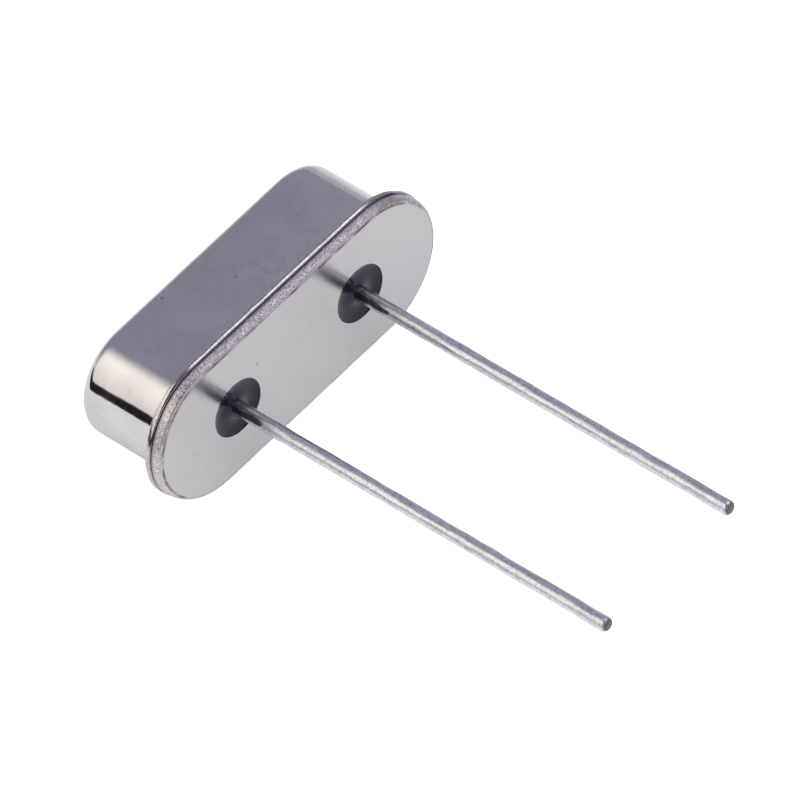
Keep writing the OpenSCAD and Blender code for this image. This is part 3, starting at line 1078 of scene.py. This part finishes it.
def floor_finish(stage):
    """Pale matt floor, lifted for the camera, that reflections see darker on one side."""
    made, tree, shader = start_finish("pale_floor", Roughness=0.9)
    place = put(tree, "TexCoord").outputs["Object"]
    fibre = noise(tree, place, 900.0, 3.0)
    shade = tint(tree, fibre, rgba(stage.floor, 0.985), rgba(stage.floor))
    shader.inputs["Emission Color"].default_value = (1.0, 1.0, 1.0, 1.0)
    path = put(tree, "LightPath")
    lift = times(tree, path.outputs["Is Camera Ray"], FLOOR_LIFT)
    parts = put(tree, "SeparateXYZ", {"Vector": place})
    x, y = (times(tree, parts.outputs[axis], part) for axis, part in zip("XY", FADE_WAY))
    fade = remap(tree, maths(tree, "ADD", x, y), FADE_FROM, FADE_TO, 0.0, FADE_MOST)
    shade = cover(tree, shade, fade, path.outputs["Is Glossy Ray"], (0.2, 0.2, 0.25, 1.0))
    tree.links.new(shade, shader.inputs["Base Color"])
    tree.links.new(lift, shader.inputs["Emission Strength"])
    return made


def add_stage_piece(name, points, faces, finish):
    """A piece of the stage, which is no part of the object."""
    mesh = bpy.data.meshes.new(name)
    mesh.from_pydata(points.tolist(), [], faces.tolist())
    mesh.materials.append(finish)
    made = bpy.data.objects.new(name, mesh)
    bpy.context.scene.collection.objects.link(made)
    return made


def add_floor(stage):
    """Flat square grid at height 0."""
    corners = np.linspace(-FLOOR_HALF, FLOOR_HALF, FLOOR_STEPS + 1)
    xs, ys = np.meshgrid(corners, corners)
    flat = np.stack([xs.ravel(), ys.ravel(), np.zeros(xs.size)], axis=1)
    count = FLOOR_STEPS + 1
    add_stage_piece("floor", flat, quads(count, count, 0)[:, ::-1], floor_finish(stage))


def add_dark_strip():
    """Low strip that only reflections see, upright at reach * (sin turn, cos turn)."""
    turn = np.radians(np.linspace(*STRIP_TURN, STRIP_STEPS))
    ring = STRIP_REACH * np.stack([np.sin(turn), np.cos(turn)], axis=1)
    low = np.concatenate([ring, np.zeros((STRIP_STEPS, 1))], axis=1)
    points = np.stack([low, low + [0, 0, STRIP_HEIGHT]], axis=1).reshape(-1, 3)
    black, _, shader = start_finish("dark_strip", Roughness=1.0)
    shader.inputs["Base Color"].default_value = (0.01, 0.01, 0.012, 1.0)
    strip = add_stage_piece("dark_strip", points, quads(STRIP_STEPS, 2, 0), black)
    strip.visible_camera = strip.visible_diffuse = strip.visible_shadow = False


def add_key_light():
    """A square soft light that faces the part, and that reflections don't see."""
    light = bpy.data.lights.new("key", "AREA")
    light.shape, light.size, light.energy = "SQUARE", KEY_SIZE, KEY_POWER
    made = bpy.data.objects.new("key", light)
    way = Vector(KEY_WAY).normalized()
    made.location = way * KEY_DISTANCE
    made.rotation_mode = "QUATERNION"
    made.rotation_quaternion = way.to_track_quat("Z", "Y")
    made.visible_glossy = False
    bpy.context.scene.collection.objects.link(made)


def add_camera(stage):
    """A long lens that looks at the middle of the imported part, moved by the aim."""
    back = view_way(stage)
    level = (-back).to_track_quat("-Z", "Y")
    turn = level @ Matrix.Rotation(-stage.roll, 3, "Z").to_quaternion()
    right, up = turn @ Vector((1, 0, 0)), turn @ Vector((0, 1, 0))
    lens = bpy.data.cameras.new("camera")
    lens.lens, lens.sensor_width = stage.lens, SENSOR
    lens.clip_start, lens.clip_end = NEAREST, FARTHEST
    camera = bpy.data.objects.new("camera", lens)
    camera.rotation_mode = "QUATERNION"
    camera.rotation_quaternion = turn
    aim = sum(CAD_BOX, Vector()) / 2 - right * stage.aim_left + up * stage.aim_up
    camera.location = aim + back * stage.distance
    bpy.context.scene.collection.objects.link(camera)
    bpy.context.scene.camera = camera


class CRYSTAL_OT_set_stage(bpy.types.Operator):
    """Sets the pale floor, the soft light and the camera"""

    bl_idname = "crystal.set_stage"
    bl_label = "Set the stage"

    def execute(self, context):
        stage = context.scene.crystal_stage
        add_floor(stage)
        add_dark_strip()
        light_room(stage)
        add_key_light()
        add_camera(stage)
        context.scene.view_settings.view_transform = "Standard"
        return {"FINISHED"}


# ---- panel and registration


GROUPS = (
    ("crystal_can", "Can", CrystalCanSizes),
    ("crystal_base", "Base", CrystalBaseSizes),
    ("crystal_seal", "Glass seals", CrystalSealSizes),
    ("crystal_lead", "Leads", CrystalLeadSizes),
    ("crystal_colours", "Colours", CrystalColours),
    ("crystal_stage", "Stage", CrystalStage),
)
OPERATORS = (
    CRYSTAL_OT_make_can,
    CRYSTAL_OT_make_base,
    CRYSTAL_OT_make_seals,
    CRYSTAL_OT_make_leads,
    CRYSTAL_OT_finish_inside,
    CRYSTAL_OT_set_stage,
)


class CRYSTAL_PT_panel(bpy.types.Panel):
    """Lists the sizes and colours, and the operators that use them"""

    bl_idname = "CRYSTAL_PT_panel"
    bl_label = "Quartz crystal"
    bl_space_type = "VIEW_3D"
    bl_region_type = "UI"
    bl_category = "Crystal"

    def draw(self, context):
        for name, label, kind in GROUPS:
            box = self.layout.box()
            box.label(text=label)
            for prop in kind.__annotations__:
                box.prop(getattr(context.scene, name), prop)
        for operator in OPERATORS:
            self.layout.operator(operator.bl_idname)


def register():
    for name, _, kind in GROUPS:
        bpy.utils.register_class(kind)
        setattr(bpy.types.Scene, name, PointerProperty(type=kind))
    for kind in (*OPERATORS, CRYSTAL_PT_panel):
        bpy.utils.register_class(kind)


def unregister():
    for kind in reversed((*OPERATORS, CRYSTAL_PT_panel)):
        bpy.utils.unregister_class(kind)
    for name, _, kind in reversed(GROUPS):
        delattr(bpy.types.Scene, name)
        bpy.utils.unregister_class(kind)


def main():
    register()
    bpy.ops.crystal.make_can()
    bpy.ops.crystal.make_base()
    bpy.ops.crystal.make_seals()
    bpy.ops.crystal.make_leads()
    bpy.ops.crystal.finish_inside()
    bpy.ops.crystal.set_stage()


if __name__ == "__main__":
    main()
